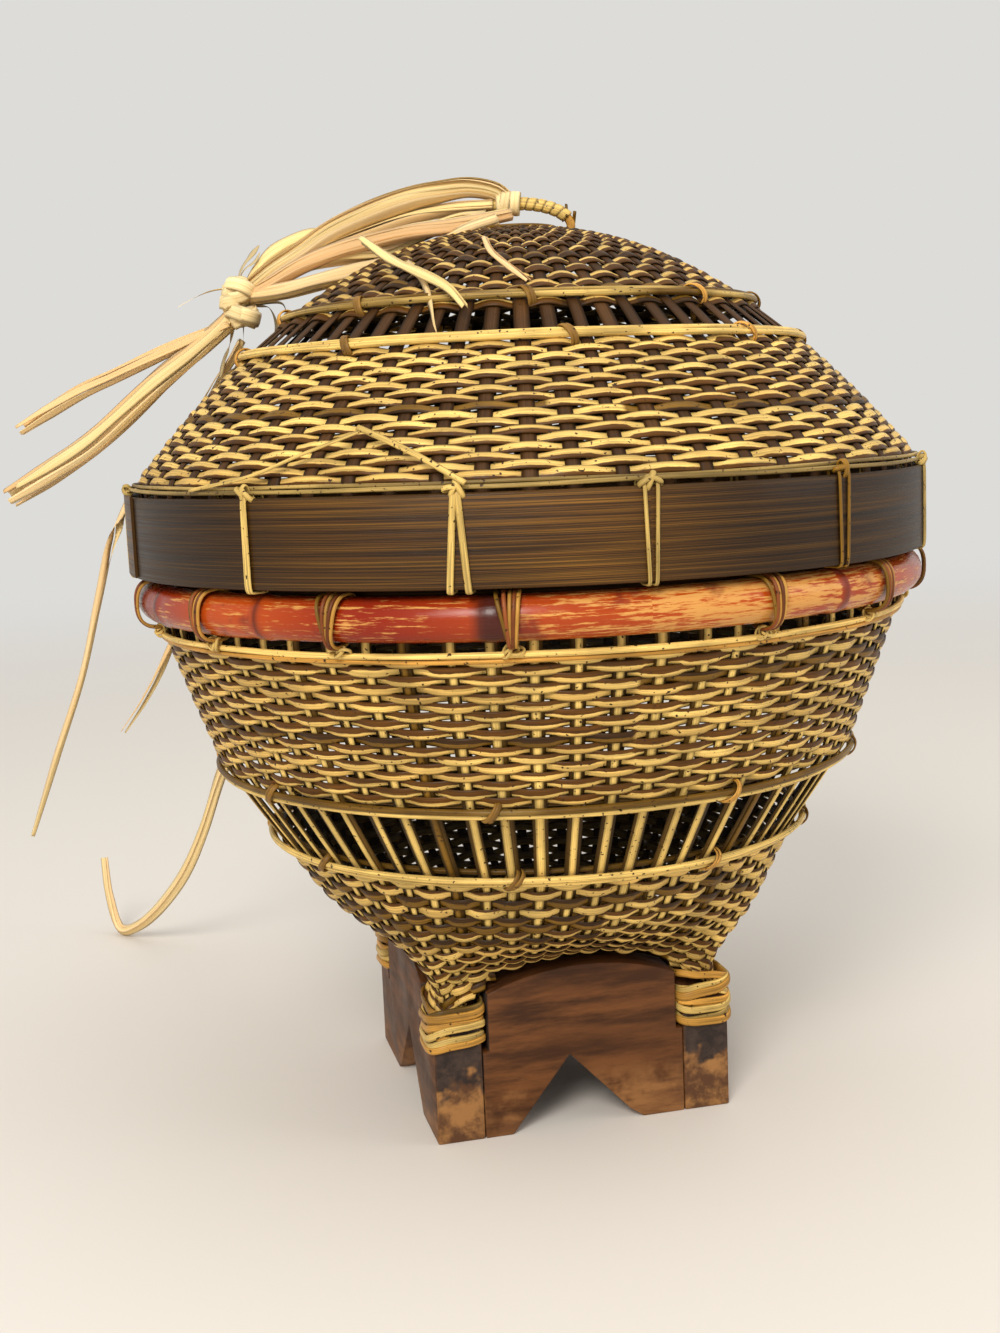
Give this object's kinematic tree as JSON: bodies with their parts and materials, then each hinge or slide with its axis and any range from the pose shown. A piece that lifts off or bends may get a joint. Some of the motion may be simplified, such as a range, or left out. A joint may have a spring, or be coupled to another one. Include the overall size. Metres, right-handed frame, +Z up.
{
  "type": "lidded woven basket",
  "caption": "Round woven rattan basket with a lift-off domed lid, open stake bands, a bamboo rim and a square notched wooden stand; raffia is tied to the lid's handle.",
  "frame": {"origin": "centre of the stand's footprint, on the surface it stands on", "axes": "+Z up through the lid's handle, -Y towards the front board, +X to the right"},
  "size_m": [0.3714, 0.4491, 0.3763],
  "materials": {
    "base_wood": "oiled, matte",
    "cane": "satin",
    "weave": "satin",
    "stake": "matte",
    "band_bamboo": "satin",
    "rim_bamboo": "glossy",
    "rim_lashing": "satin",
    "raffia": "matte fibre"
  },
  "bodies": {
    "basket": {"base_board_left": "base_wood", "base_board_right": "base_wood", "base_board_front": "base_wood", "base_board_back": "base_wood", "corner_binding_front_left": "cane", "corner_binding_front_right": "cane", "corner_binding_back_left": "cane", "corner_binding_back_right": "cane", "bowl_floor": "weave", "bowl_lower_weave": "weave", "bowl_upper_weave": "weave", "bowl_stakes": "stake", "bowl_lower_hoop": "cane", "bowl_upper_hoop": "cane", "neck_hoop": "cane", "rim_pole": "rim_bamboo", "rim_collar": "band_bamboo", "rim_lashing_01": "rim_lashing", "rim_lashing_02": "rim_lashing", "rim_lashing_03": "rim_lashing", "rim_lashing_04": "rim_lashing", "rim_lashing_05": "rim_lashing", "rim_lashing_06": "rim_lashing", "rim_lashing_07": "rim_lashing", "rim_lashing_08": "rim_lashing", "rim_lashing_09": "rim_lashing", "rim_lashing_10": "rim_lashing", "rim_lashing_11": "rim_lashing", "rim_lashing_12": "rim_lashing"},
    "lid": {"lid_lower_weave": "weave", "lid_crown_weave": "weave", "lid_stakes": "stake", "lid_band_outer": "band_bamboo", "lid_band_inner": "band_bamboo", "lid_band_line": "cane", "lid_lower_hoop": "cane", "lid_upper_hoop": "cane", "band_lashing_01": "cane", "band_lashing_02": "cane", "band_lashing_03": "cane", "band_lashing_04": "cane", "band_lashing_05": "cane", "band_lashing_06": "cane", "band_lashing_07": "cane", "band_lashing_08": "cane", "band_lashing_09": "cane", "band_lashing_10": "cane", "band_lashing_11": "cane", "handle_core": "cane", "handle_wrap": "cane", "raffia_tie": "raffia", "raffia_knot": "raffia", "raffia_loop_upper": "raffia", "raffia_loop_lower": "raffia", "raffia_tassel": "raffia", "raffia_tail_front": "raffia", "raffia_tail_right": "raffia", "raffia_strand_long": "raffia", "raffia_strand_short": "raffia", "raffia_strand_trailing": "raffia"}
  },
  "joints": [
    {"name": "lid_lift", "type": "slide", "parent": "basket", "child": "lid", "axis": [0, 0, 1], "range_m": [0, 0.12]}
  ]
}
